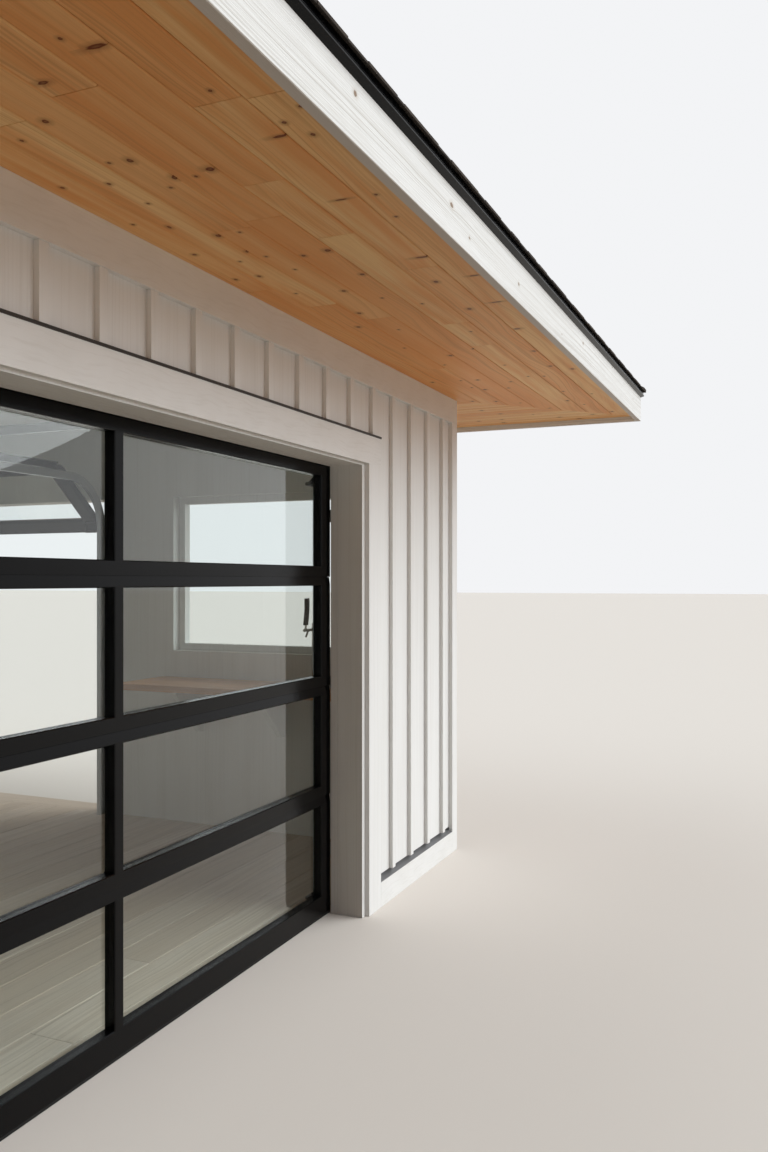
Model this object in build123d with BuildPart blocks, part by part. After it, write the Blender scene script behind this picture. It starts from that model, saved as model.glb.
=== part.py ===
from build123d import *
from math import cos, radians, sin
import os

os.makedirs("parts", exist_ok=True)

# Lakeside cabin, millimetres. The origin is on the ground at the middle of the plan,
# the glazed door faces -Y and the ridge runs along X.

# Body: the overall sizes are taken over the outer faces of the trim boards
body_width = 7158
body_depth = 5500
trim = 22
wall_thickness = 164
ceiling_thickness = 16
floor_thickness = 28
floor_clearance = 4

# Doorway: clear size between the lining boards
doorway_width = 4572
doorway_height = 2124
lining_thickness = 38
lining_stop_depth = 36
lining_groove = 3
casing_width = 140
casing_side_reveal = 32
casing_head_reveal = 10

# Side doorway in the right wall, with its head level with the front one and its door drawn up
side_doorway_width = 2438
side_doorway_from_front = 2438
side_pane_columns = 2
side_track_rise = 121
side_track_run = 1700
side_bottom_roller = 48
side_tilt = 48

# Outside trim
siding_over_casing = 226
frieze_drop = 140
skirt_height = 130
siding_gap = 18
siding_gap_depth = 14
corner_board_width = 84
batten_width = 38
batten_depth = 19
batten_pitch = 244.2
batten_from_corner = 218.4
batten_clear = 24
flashing_metal = 2
flashing_lip = 8
flashing_nose = 3
base_flashing_fall = 9

# Windows: one in each side wall and one in the back wall, with heads level with the doorway
window_width = 1280
window_height = 994
window_from_front = 600
window_frame_width = 44
window_frame_depth = 60
window_frame_setback = 40
window_pane = 8
sill_depth = 30
sill_projection = 18
sill_fall = 6

# Roof and eaves
overhang_front = 911
overhang_side = 980
soffit_thickness = 19
fascia_thickness = 30
fascia_drop = 30
eave_rise = 167
roof_slope = 5 / 12
sheathing_thickness = 18
shingle_thickness = 10
shingle_overhang = 30
drip_metal = 3
drip_height = 48
drip_face = 15
drip_lip = 19
drip_lip_rise = 11
drip_lip_edge = 4
drip_cove = 9
drip_flange = 70
cap_width = 250
cap_thickness = 8

# Sectional door
door_setback = 11
door_side_lap = 13
door_head_lap = 10
section_depth = 45
bottom_rail = 102
low_meeting_rail = 52
high_meeting_rail = 40
top_rail = 60
end_stile = 90
mullion = 46
pane_columns = 3
section_count = 4
glass_setback = 27
glass_thickness = 6
glazing_groove = 8
glazing_clearance = 1
pane_chamfer = 3
section_gap = 2
rail_bevel = 5
rail_bevel_height = 34
tongue_height = 8
tongue_depth = 20
tongue_clearance = 1
seal_height = 12
seal_radius = 4

# Tracks, rollers and hinges
track_width = 50
track_flange = 26
track_metal = 2.5
track_radius = 305
track_foot = 40
track_run = 2000
track_from_door = 50
roller_diameter = 44.4
roller_tread = 12
roller_play = 1
stem_diameter = 10
stem_clearance = 0.3
roller_from_door = 38
hinge_width = 84
hinge_height = 110
hinge_metal = 3
barrel_radius = 9
hinge_arm_rise = 36
top_roller_drop = 85
bracket_width = 50
bracket_height = 60
bracket_metal = 3
bracket_first = 260
bracket_levels = 3
hanger_spacing = 900

# Counter along the right wall, with a draught tap on a column
counter_depth = 490
counter_height = 960
counter_thickness = 38
counter_length = 1774
counter_round = 3
bracket_leg = 300
bracket_thickness = 38
bracket_count = 3
tap_from_wall = 281
tap_from_casing = 681
column_diameter = 76
column_height = 380
column_foot_diameter = 110
column_foot_height = 12
tap_height = 345
shank_diameter = 18
shank_reach = 132
spout_diameter = 11
spout_drop = 38
spout_rake = 26
spout_back = 45
collar_diameter = 12
collar_height = 28
collar_back = 15
handle_width = 24
handle_thickness = 16
handle_lower = 80
handle_upper = 70
handle_rake = 15
handle_rounding = 5

# Derived places
half_width = body_width / 2
half_depth = body_depth / 2
siding_x = half_width - trim
siding_y = half_depth - trim
inner_x = siding_x - wall_thickness
inner_y = siding_y - wall_thickness
rough_half = doorway_width / 2 + lining_thickness
rough_head = doorway_height + lining_thickness
casing_half = doorway_width / 2 + casing_side_reveal
casing_head = doorway_height + casing_head_reveal
casing_outer = casing_half + casing_width
side_middle_y = side_doorway_from_front + side_doorway_width / 2 - half_depth
side_rough_half = side_doorway_width / 2 + lining_thickness
side_casing_half = side_doorway_width / 2 + casing_side_reveal
side_casing_outer = side_casing_half + casing_width
casing_top = casing_head + casing_width
flashing_top = casing_top + 2 * flashing_metal
frieze_bottom = casing_top + siding_over_casing
ceiling_height = frieze_bottom + frieze_drop
wall_top = ceiling_height + soffit_thickness
siding_foot = skirt_height + siding_gap
eave_height = ceiling_height + eave_rise
fascia_x = half_width + overhang_side
fascia_y = half_depth + overhang_front
soffit_x = fascia_x - fascia_thickness
soffit_y = fascia_y - fascia_thickness
ridge_half = fascia_x - fascia_y
roof_low = eave_height + drip_metal
roof_high = roof_low + shingle_thickness
beyond = 500
tall = 2 * (eave_height + fascia_y)


def finish(name, node):
    """Label a finished piece and write it to its file."""
    node.part.label = name
    export_step(node.part, f"parts/{name}.step")


def hip_volume(height):
    """Everything under a hip roof whose slopes cross the fascia faces at this height."""
    reach_x = fascia_x + shingle_overhang
    reach_y = fascia_y + shingle_overhang
    edge = height - shingle_overhang * roof_slope
    with BuildPart() as volume:
        with BuildSketch(Plane.YZ):
            with BuildLine():
                Polyline((-reach_y, 0), (reach_y, 0), (reach_y, edge),
                         (0, height + fascia_y * roof_slope), (-reach_y, edge), close=True)
            make_face()
        extrude(amount=reach_x, both=True)
        with BuildSketch(Plane.XZ):
            with BuildLine():
                Polyline((-reach_x, 0), (reach_x, 0), (reach_x, edge),
                         (0, height + fascia_x * roof_slope), (-reach_x, edge), close=True)
            make_face()
        extrude(amount=reach_y, both=True, mode=Mode.INTERSECT)
    return volume.part


def plan_prism(points, low=0, high=tall):
    """An upright prism over a plan outline."""
    with BuildPart() as prism:
        with BuildSketch(Plane.XY.offset(low)):
            with BuildLine():
                Polyline(*points, close=True)
            make_face()
        extrude(amount=high - low)
    return prism.part


far_x = fascia_x + beyond
far_y = fascia_y + beyond
quarters = {
    "front": plan_prism([(-far_x, -far_y), (far_x, -far_y), (ridge_half, 0), (-ridge_half, 0)]),
    "back": plan_prism([(-far_x, far_y), (far_x, far_y), (ridge_half, 0), (-ridge_half, 0)]),
    "left": plan_prism([(-far_x, -far_y), (-far_x, far_y), (-ridge_half, 0)]),
    "right": plan_prism([(far_x, -far_y), (far_x, far_y), (ridge_half, 0)]),
}

# Floor, notched round the foot of the door and carried out through the side doorway
with BuildPart() as floor:
    with BuildSketch():
        Rectangle(2 * inner_x, 2 * inner_y)
        with Locations(((inner_x + half_width) / 2, side_middle_y)):
            Rectangle(half_width - inner_x, side_doorway_width)
        with Locations((0, -inner_y)):
            Rectangle(doorway_width + 2 * (door_side_lap + floor_clearance),
                      2 * (door_setback + section_depth + floor_clearance), mode=Mode.SUBTRACT)
    extrude(amount=floor_thickness)
finish("floor", floor)

# Walls, with the drained gap under the siding cut round their feet
with BuildPart() as siding_groove:
    with BuildSketch(Plane.XY.offset(skirt_height)):
        Rectangle(2 * siding_x, 2 * siding_y)
        Rectangle(2 * (siding_x - siding_gap_depth), 2 * (siding_y - siding_gap_depth), mode=Mode.SUBTRACT)
    extrude(amount=siding_gap)

wall_middle_x = (siding_x + inner_x) / 2
wall_middle_y = (siding_y + inner_y) / 2
window_middle_y = -half_depth + window_from_front + window_width / 2
window_middle_z = doorway_height - window_height / 2
for name, direction in (("front_wall_left", -1), ("front_wall_right", 1)):
    with BuildPart() as front_wall_side:
        with BuildSketch():
            with Locations((direction * (siding_x + rough_half) / 2, -wall_middle_y)):
                Rectangle(siding_x - rough_half, wall_thickness)
        extrude(amount=wall_top)
        add(siding_groove.part, mode=Mode.SUBTRACT)
    finish(name, front_wall_side)

with BuildPart() as front_wall_header:
    with BuildSketch(Plane.XY.offset(rough_head)):
        with Locations((0, -wall_middle_y)):
            Rectangle(2 * rough_half, wall_thickness)
    extrude(amount=wall_top - rough_head)
finish("front_wall_header", front_wall_header)

for name, direction in (("left_wall", -1), ("right_wall", 1)):
    with BuildPart() as side_wall:
        with BuildSketch():
            with Locations((direction * wall_middle_x, 0)):
                Rectangle(wall_thickness, 2 * inner_y)
        extrude(amount=wall_top)
        with Locations((direction * wall_middle_x, window_middle_y, window_middle_z)):
            Box(2 * wall_thickness, window_width, window_height, mode=Mode.SUBTRACT)
        if direction > 0:
            with Locations((wall_middle_x, side_middle_y, rough_head / 2)):
                Box(2 * wall_thickness, 2 * side_rough_half, rough_head, mode=Mode.SUBTRACT)
        add(siding_groove.part, mode=Mode.SUBTRACT)
    finish(name, side_wall)

with BuildPart() as back_wall:
    with BuildSketch():
        with Locations((0, wall_middle_y)):
            Rectangle(2 * siding_x, wall_thickness)
    extrude(amount=wall_top)
    with Locations((0, wall_middle_y, window_middle_z)):
        Box(window_width, 2 * wall_thickness, window_height, mode=Mode.SUBTRACT)
    add(siding_groove.part, mode=Mode.SUBTRACT)
finish("back_wall", back_wall)

with BuildPart() as ceiling:
    with BuildSketch(Plane.XY.offset(ceiling_height)):
        Rectangle(2 * inner_x, 2 * inner_y)
    extrude(amount=ceiling_thickness)
finish("ceiling", ceiling)

# Wall faces, each drawn as seen from outside: across, then up
front_face = Plane.XZ.offset(siding_y)
back_face = Plane(origin=(0, siding_y, 0), x_dir=(-1, 0, 0), z_dir=(0, 1, 0))
right_face = Plane.YZ.offset(siding_x)
left_face = Plane(origin=(-siding_x, 0, 0), x_dir=(0, -1, 0), z_dir=(-1, 0, 0))

# Doorway linings: boards through the wall, the front one with a fine groove before the inner stop
with BuildPart() as door_lining:
    with BuildSketch(Plane.XZ.offset(inner_y)):
        with Locations((0, rough_head / 2)):
            Rectangle(2 * rough_half, rough_head)
        with Locations((0, doorway_height / 2)):
            Rectangle(doorway_width, doorway_height, mode=Mode.SUBTRACT)
    extrude(amount=wall_thickness)
    with BuildSketch(Plane.XZ.offset(inner_y + lining_stop_depth)):
        with Locations((0, (doorway_height + lining_groove) / 2)):
            Rectangle(doorway_width + 2 * lining_groove, doorway_height + lining_groove)
        with Locations((0, doorway_height / 2)):
            Rectangle(doorway_width, doorway_height, mode=Mode.SUBTRACT)
    extrude(amount=lining_groove, mode=Mode.SUBTRACT)
    with BuildSketch(Plane.YZ.offset(inner_x)):
        with Locations((side_middle_y, rough_head / 2)):
            Rectangle(2 * side_rough_half, rough_head)
        with Locations((side_middle_y, doorway_height / 2)):
            Rectangle(side_doorway_width, doorway_height, mode=Mode.SUBTRACT)
    extrude(amount=wall_thickness)
finish("door_lining", door_lining)

with BuildPart() as door_casing:
    for face, across, inner_half, outer_half in ((front_face, 0, casing_half, casing_outer),
                                                 (right_face, side_middle_y, side_casing_half,
                                                  side_casing_outer)):
        with BuildSketch(face):
            with Locations((across, casing_top / 2)):
                Rectangle(2 * outer_half, casing_top)
            with Locations((across, casing_head / 2)):
                Rectangle(2 * inner_half, casing_head, mode=Mode.SUBTRACT)
        extrude(amount=trim)
finish("door_casing", door_casing)

# Corner boards wrap each corner from the ground to the frieze
with BuildPart() as corner_boards:
    with BuildSketch():
        for corner_x in (-1, 1):
            for corner_y in (-1, 1):
                with Locations((corner_x * (half_width - corner_board_width / 2),
                                corner_y * (half_depth - trim / 2))):
                    Rectangle(corner_board_width, trim)
                with Locations((corner_x * (half_width - trim / 2),
                                corner_y * (half_depth - corner_board_width / 2))):
                    Rectangle(trim, corner_board_width)
    extrude(amount=frieze_bottom)
finish("corner_boards", corner_boards)

# Skirting boards between the corner boards and the casing, and the sloped metal on top of them
board_end_x = half_width - corner_board_width
board_end_y = half_depth - corner_board_width
front_runs = [(-board_end_x, -casing_outer), (casing_outer, board_end_x)]
right_runs = [(-board_end_y, side_middle_y - side_casing_outer),
              (side_middle_y + side_casing_outer, board_end_y)]
left_runs = [(-board_end_y, board_end_y)]


def board_outline(direction, siding_face):
    """Section of a skirting board with its weathered top."""
    with BuildSketch() as outline:
        with BuildLine():
            Polyline((direction * siding_face, 0), (direction * (siding_face + trim), 0),
                     (direction * (siding_face + trim), skirt_height - base_flashing_fall),
                     (direction * siding_face, skirt_height), close=True)
        make_face()
    return outline.sketch


def flashing_outline(direction, siding_face):
    """Section of the metal that covers the skirting board and runs back under the siding."""
    back = siding_face - siding_gap_depth
    rise = base_flashing_fall * siding_gap_depth / trim
    front = siding_face + trim
    front_height = skirt_height - base_flashing_fall
    with BuildSketch() as outline:
        with BuildLine():
            Polyline((direction * siding_face, skirt_height), (direction * front, front_height),
                     (direction * front, front_height + flashing_metal),
                     (direction * back, skirt_height + rise + flashing_metal),
                     (direction * back, skirt_height), close=True)
        make_face()
    return outline.sketch


def run_round(outline):
    """Extrude an outline along every run between the trim boards."""
    with BuildPart() as course:
        for start, stop in front_runs:
            with BuildSketch(Plane.YZ.offset(start)):
                add(outline(-1, siding_y))
            extrude(amount=stop - start)
        with BuildSketch(Plane.YZ.offset(-board_end_x)):
            add(outline(1, siding_y))
        extrude(amount=2 * board_end_x)
        for direction, runs in ((-1, left_runs), (1, right_runs)):
            for start, stop in runs:
                with BuildSketch(Plane.XZ.offset(-stop)):
                    add(outline(direction, siding_x))
                extrude(amount=stop - start)
    return course


skirting_boards = run_round(board_outline)
finish("skirting_boards", skirting_boards)

base_flashing = run_round(flashing_outline)
finish("base_flashing", base_flashing)

with BuildPart() as frieze_boards:
    with BuildSketch(Plane.XY.offset(frieze_bottom)):
        Rectangle(body_width, body_depth)
        Rectangle(2 * siding_x, 2 * siding_y, mode=Mode.SUBTRACT)
    extrude(amount=frieze_drop)
finish("frieze_boards", frieze_boards)

# Windows: frame, glass and outside casing with a sill in each of the three openings
window_casing_half = window_width / 2 + casing_width
window_sill = doorway_height - window_height
window_casing_low = window_sill - casing_width
window_casing_top = doorway_height + casing_width
window_flashing_top = window_casing_top + 2 * flashing_metal
window_places = [(back_face, 0), (right_face, window_middle_y), (left_face, -window_middle_y)]

with BuildPart() as window_frames:
    for face, across in window_places:
        with BuildSketch(face.offset(-window_frame_setback)):
            with Locations((across, window_middle_z)):
                Rectangle(window_width, window_height)
                Rectangle(window_width - 2 * window_frame_width,
                          window_height - 2 * window_frame_width, mode=Mode.SUBTRACT)
        extrude(amount=-window_frame_depth)
finish("window_frames", window_frames)

with BuildPart() as window_glass:
    for face, across in window_places:
        with BuildSketch(face.offset((window_pane - window_frame_depth) / 2 - window_frame_setback)):
            with Locations((across, window_middle_z)):
                Rectangle(window_width - 2 * window_frame_width, window_height - 2 * window_frame_width)
        extrude(amount=-window_pane)
finish("window_glass", window_glass)

with BuildPart() as window_casings:
    for face, across in window_places:
        with BuildSketch(face):
            with Locations((across, (window_casing_low + window_casing_top) / 2)):
                Rectangle(2 * window_casing_half, window_casing_top - window_casing_low)
            with Locations((across, window_middle_z)):
                Rectangle(window_width, window_height, mode=Mode.SUBTRACT)
        extrude(amount=trim)
        sill_section = Plane(origin=face.origin + face.x_dir * (across - window_width / 2),
                             x_dir=face.z_dir, z_dir=-face.x_dir)
        with BuildSketch(sill_section):
            with BuildLine():
                Polyline((trim, window_sill), (trim, window_sill - sill_depth),
                         (trim + sill_projection, window_sill - sill_depth),
                         (trim + sill_projection, window_sill - sill_fall), close=True)
            make_face()
        extrude(amount=-window_width)
finish("window_casings", window_casings)


def head_flashing_outline(top):
    """Section of the metal that sheds water over a head casing, drawn outwards from the siding."""
    with BuildSketch() as outline:
        with BuildLine():
            Polyline((0, top), (trim, top), (trim, top - flashing_lip),
                     (trim + flashing_nose, top - flashing_lip),
                     (trim + flashing_nose, top + flashing_metal),
                     (0, top + 2 * flashing_metal), close=True)
        make_face()
    return outline.sketch


with BuildPart() as head_flashings:
    flashing_places = [(front_face, 0, casing_outer, casing_top),
                       (right_face, side_middle_y, side_casing_outer, casing_top)]
    flashing_places += [(face, across, window_casing_half, window_casing_top)
                        for face, across in window_places]
    for face, across, half_length, top in flashing_places:
        section_plane = Plane(origin=face.origin + face.x_dir * (across - half_length),
                              x_dir=face.z_dir, z_dir=-face.x_dir)
        with BuildSketch(section_plane):
            add(head_flashing_outline(top))
        extrude(amount=-2 * half_length)
finish("head_flashings", head_flashings)


def batten_centres(half_length):
    """Batten centres along a wall, set out from its right-hand corner."""
    reach = 2 * half_length - corner_board_width - batten_width / 2 - batten_clear
    count = int((reach - batten_from_corner) // batten_pitch) + 1
    return [half_length - batten_from_corner - batten_pitch * turn for turn in range(count)]


def front_spans(centre):
    """A batten over the doorway starts on the head flashing."""
    over_door = abs(centre) < casing_outer + batten_width / 2
    return [(flashing_top if over_door else siding_foot, frieze_bottom)]


def window_spans(across):
    """Battens that meet a window casing stop under it and start again on its flashing."""
    def spans(centre):
        if abs(centre - across) < window_casing_half + batten_width / 2:
            return [(siding_foot, window_casing_low), (window_flashing_top, frieze_bottom)]
        return [(siding_foot, frieze_bottom)]
    return spans


def right_spans(centre):
    """The right wall has a window and, further back, the side doorway."""
    if abs(centre - side_middle_y) < side_casing_outer + batten_width / 2:
        return [(flashing_top, frieze_bottom)]
    return window_spans(window_middle_y)(centre)


batten_rows = {
    "battens_front": (front_face, half_width, front_spans),
    "battens_back": (back_face, half_width, window_spans(0)),
    "battens_right": (right_face, half_depth, right_spans),
    "battens_left": (left_face, half_depth, window_spans(-window_middle_y)),
}
for name, (face, half_length, spans) in batten_rows.items():
    with BuildPart() as row:
        with BuildSketch(face):
            for centre in batten_centres(half_length):
                for foot, head in spans(centre):
                    with Locations((centre, (foot + head) / 2)):
                        Rectangle(batten_width, head - foot)
        extrude(amount=batten_depth)
    finish(name, row)

# Soffits, mitred from each wall corner to the fascia corner
soffit_outlines = {
    "front": [(-soffit_x, -soffit_y), (soffit_x, -soffit_y), (siding_x, -siding_y), (-siding_x, -siding_y)],
    "back": [(-soffit_x, soffit_y), (soffit_x, soffit_y), (siding_x, siding_y), (-siding_x, siding_y)],
    "left": [(-soffit_x, -soffit_y), (-soffit_x, soffit_y), (-siding_x, siding_y), (-siding_x, -siding_y)],
    "right": [(soffit_x, -soffit_y), (soffit_x, soffit_y), (siding_x, siding_y), (siding_x, -siding_y)],
}
for side, outline in soffit_outlines.items():
    with BuildPart() as soffit:
        add(plan_prism(outline, ceiling_height, wall_top))
    finish(f"soffit_{side}", soffit)

# Fascia boards, with tops bevelled to the roof slope and ends mitred
with BuildPart() as fascia_ring:
    with BuildSketch(Plane.XY.offset(ceiling_height - fascia_drop)):
        Rectangle(2 * fascia_x, 2 * fascia_y)
        Rectangle(2 * soffit_x, 2 * soffit_y, mode=Mode.SUBTRACT)
    extrude(amount=tall)
    add(hip_volume(eave_height), mode=Mode.INTERSECT)
for side, quarter in quarters.items():
    with BuildPart() as fascia:
        add(fascia_ring.part)
        add(quarter, mode=Mode.INTERSECT)
    finish(f"fascia_{side}", fascia)


def drip_outline(fascia_face):
    """Section of the metal drip edge: a flange under the shingles, a nose, a cove and a kicked-out lip."""
    foot = roof_low - drip_height
    nose = fascia_face + drip_face
    tip = fascia_face + drip_lip
    tip_height = foot + drip_lip_rise + drip_lip_edge
    inner = fascia_face - drip_flange
    with BuildSketch() as outline:
        with BuildLine():
            Polyline((nose, tip_height + drip_cove), (nose, roof_low - drip_face * roof_slope),
                     (inner, roof_low + drip_flange * roof_slope),
                     (inner, eave_height + drip_flange * roof_slope), (fascia_face, eave_height),
                     (fascia_face, foot), (tip, foot + drip_lip_rise), (tip, tip_height))
            RadiusArc((tip, tip_height), (nose, tip_height + drip_cove), drip_cove)
        make_face()
    return outline.sketch


with BuildPart() as drip_long:
    with BuildSketch(Plane.YZ):
        add(drip_outline(fascia_y))
    extrude(amount=far_x, both=True)
    add(quarters["back"], mode=Mode.INTERSECT)
with BuildPart() as drip_short:
    with BuildSketch(Plane.XZ):
        add(drip_outline(fascia_x))
    extrude(amount=far_y, both=True)
    add(quarters["right"], mode=Mode.INTERSECT)
with BuildPart() as drip_edge:
    add(drip_long.part)
    mirror(drip_long.part, about=Plane.XZ)
    add(drip_short.part)
    mirror(drip_short.part, about=Plane.YZ)
finish("drip_edge", drip_edge)

# Roof slopes: shingles over sheathing that stops inside the drip edge, cut along hips and ridge,
# and the cap course over those lines
with BuildPart() as shingles:
    add(hip_volume(roof_high))
    add(hip_volume(roof_low), mode=Mode.SUBTRACT)
with BuildPart() as sheathing:
    with BuildSketch():
        Rectangle(2 * (fascia_x - drip_flange), 2 * (fascia_y - drip_flange))
    extrude(amount=tall)
    add(hip_volume(roof_low), mode=Mode.INTERSECT)
    add(hip_volume(eave_height - sheathing_thickness), mode=Mode.SUBTRACT)
for side, quarter in quarters.items():
    with BuildPart() as roof:
        add(shingles.part)
        add(sheathing.part)
        add(quarter, mode=Mode.INTERSECT)
    finish(f"roof_{side}", roof)

hip_run = fascia_y + shingle_overhang
with BuildPart() as roof_caps:
    with BuildSketch():
        Rectangle(2 * ridge_half, cap_width)
        for direction_x in (-1, 1):
            for direction_y in (-1, 1):
                with Locations((direction_x * (ridge_half + hip_run / 2), direction_y * hip_run / 2)):
                    Rectangle(hip_run * 2 ** 0.5, cap_width, rotation=45 * direction_x * direction_y)
    extrude(amount=tall)
    add(hip_volume(roof_high + cap_thickness), mode=Mode.INTERSECT)
    add(hip_volume(roof_high), mode=Mode.SUBTRACT)
finish("roof_caps", roof_caps)

# Sectional doors: glazed sections, each a frame of rails and stiles whose top has a tongue that
# fits the groove of the section above
door_width = doorway_width + 2 * door_side_lap
side_door_width = side_doorway_width + 2 * door_side_lap
door_height = doorway_height + door_head_lap
door_front = inner_y - door_setback
door_back = door_front - section_depth
joints = section_count - 1
rail_total = bottom_rail + top_rail + joints * (low_meeting_rail + high_meeting_rail)
pane_height = (door_height - rail_total) / section_count
low_rails = [bottom_rail] + [low_meeting_rail] * joints
high_rails = [high_meeting_rail] * joints + [top_rail]
section_feet = [sum(low_rails[:index]) + sum(high_rails[:index]) + index * pane_height
                for index in range(section_count)]
pane_middles = [foot + rail + pane_height / 2 for foot, rail in zip(section_feet, low_rails)]
joint_levels = section_feet[1:]
door_plane = Plane.XZ.offset(door_front)
glass_plane = door_plane.offset(-glass_setback)
tongue_setback = (section_depth - tongue_depth) / 2


def pane_step(width, columns):
    """Distance between the middles of panes that share a door of this width."""
    return (width - 2 * end_stile + mullion) / columns


def pane_row(index, width, columns, edge=0):
    """The panes of one section, each drawn larger by the edge on all sides."""
    step = pane_step(width, columns)
    with BuildSketch() as row:
        with Locations((0, pane_middles[index])):
            with GridLocations(step, 1, columns, 1):
                Rectangle(step - mullion + 2 * edge, pane_height + 2 * edge)
    return row.sketch


def door_section(index, width, columns):
    """One section of a shut door."""
    foot = section_feet[index] + (section_gap if index else seal_height)
    head = pane_middles[index] + pane_height / 2 + high_rails[index]
    groove_height = tongue_height - section_gap + tongue_clearance
    with BuildPart() as section:
        with BuildSketch(door_plane):
            with Locations((0, (foot + head) / 2)):
                Rectangle(width, head - foot)
        extrude(amount=-section_depth)
        with BuildSketch(door_plane):
            add(pane_row(index, width, columns))
        extrude(amount=-section_depth, mode=Mode.SUBTRACT)
        with BuildSketch(glass_plane):
            add(pane_row(index, width, columns, glazing_groove))
        extrude(amount=-glass_thickness, mode=Mode.SUBTRACT)
        door_face = section.faces().filter_by(Axis.Y).sort_by(Axis.Y)[0]
        chamfer(door_face.inner_wires().edges(), pane_chamfer)
        if index < joints:
            with BuildSketch(Plane.YZ):
                with BuildLine():
                    Polyline((-door_front, head - rail_bevel_height), (-door_front + rail_bevel, head),
                             (-door_front, head), close=True)
                make_face()
            extrude(amount=width / 2, both=True, mode=Mode.SUBTRACT)
            with BuildSketch(door_plane.offset(-tongue_setback)):
                with Locations((0, head + tongue_height / 2)):
                    Rectangle(width, tongue_height)
            extrude(amount=-tongue_depth)
        if index:
            with BuildSketch(door_plane.offset(tongue_clearance - tongue_setback)):
                with Locations((0, foot + groove_height / 2)):
                    Rectangle(width, groove_height)
            extrude(amount=-(tongue_depth + 2 * tongue_clearance), mode=Mode.SUBTRACT)
    return section.part


def door_panes(index, width, columns):
    """The glass of one section, let into the grooves round its panes."""
    with BuildPart() as panes:
        with BuildSketch(glass_plane):
            add(pane_row(index, width, columns, glazing_groove - glazing_clearance))
        extrude(amount=-glass_thickness)
    return panes.part


def bottom_seal(width):
    """The soft strip along the foot of a shut door."""
    with BuildPart() as seal:
        with BuildSketch(door_plane):
            with Locations((0, seal_height / 2)):
                Rectangle(width, seal_height)
        extrude(amount=-section_depth)
        fillet(seal.edges().filter_by(Axis.X).group_by(Axis.Z)[0], seal_radius)
    return seal.part


# The front door is shut. The side door is drawn up: its lowest section hangs at a tilt in the bend
# of the tracks, with its bottom roller still on the upright part, and the others lie along them.
roller_y = roller_from_door - door_back
track_level = doorway_height + track_radius
side_track_level = doorway_height + side_track_rise
bend_y = roller_y + track_radius
side_frame = Location((inner_x - inner_y, side_middle_y, 0), (0, 0, 90))
side_tilts = [side_tilt] + [90] * joints
roller_drop = joint_levels[0] - side_bottom_roller
fold_y = roller_y + roller_drop * sin(radians(side_tilt)) - roller_from_door * cos(radians(side_tilt))
fold_level = side_track_level + roller_from_door


def drawn_up(tilt):
    """Where a piece of the shut side door goes: it tilts about the line where the back of the
    lowest joint folds, and that line moves up to its place over the doorway."""
    fold = Location((0, fold_y, fold_level), (-tilt, 0, 0))
    return side_frame * fold * Location((0, door_back, -joint_levels[0]))


for index in range(section_count):
    with BuildPart() as front_section:
        add(door_section(index, door_width, pane_columns))
    finish(f"door_section_{index + 1}", front_section)

with BuildPart() as side_door_sections:
    for index, tilt in enumerate(side_tilts):
        add(door_section(index, side_door_width, side_pane_columns).moved(drawn_up(tilt)))
finish("side_door_sections", side_door_sections)

with BuildPart() as door_glass:
    for index in range(section_count):
        add(door_panes(index, door_width, pane_columns))
finish("door_glass", door_glass)

with BuildPart() as side_door_glass:
    for index, tilt in enumerate(side_tilts):
        add(door_panes(index, side_door_width, side_pane_columns).moved(drawn_up(tilt)))
finish("side_door_glass", side_door_glass)

with BuildPart() as door_seals:
    add(bottom_seal(door_width))
    add(bottom_seal(side_door_width).moved(drawn_up(side_tilt)))
finish("door_seals", door_seals)


def both_ends(piece):
    """A piece at the right end of a door and its mirror image at the left end."""
    with BuildPart() as pair:
        add(piece)
        mirror(piece, about=Plane.YZ)
    return pair.part


# Tracks: a channel up each jamb, round a bend and back under the ceiling
def track_outline(web, middle):
    """Channel section of a track, open towards the door, about the line the rollers follow."""
    with BuildSketch() as outline:
        with Locations((web - track_flange / 2, middle)):
            Rectangle(track_flange, track_width)
        with Locations((web - track_flange / 2 - track_metal, middle)):
            Rectangle(track_flange, track_width - 2 * track_metal, mode=Mode.SUBTRACT)
    return outline.sketch


def tracks(width, level, run):
    """Both tracks of a door, with their bends below this level and runs of this length."""
    web = width / 2 + track_from_door
    bend_level = level - track_radius
    with BuildPart() as track:
        with BuildSketch(Plane.XY.offset(track_foot)):
            add(track_outline(web, roller_y))
        extrude(amount=bend_level - track_foot)
        with BuildSketch(Plane.XY.offset(bend_level)):
            add(track_outline(web, roller_y))
        revolve(axis=Axis((0, bend_y, bend_level), (-1, 0, 0)), revolution_arc=90)
        with BuildSketch(Plane.XZ.offset(-bend_y)):
            add(track_outline(web, level))
        extrude(amount=-run)
    return both_ends(track.part)


with BuildPart() as door_tracks:
    add(tracks(door_width, track_level, track_run))
    add(tracks(side_door_width, side_track_level, side_track_run).moved(side_frame))
finish("door_tracks", door_tracks)

# Jamb brackets hold each track off the wall, and straps hang its run from the ceiling
track_back_y = roller_y + track_width / 2
bracket_spacing = (doorway_height - 2 * bracket_first) / (bracket_levels - 1)


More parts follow.
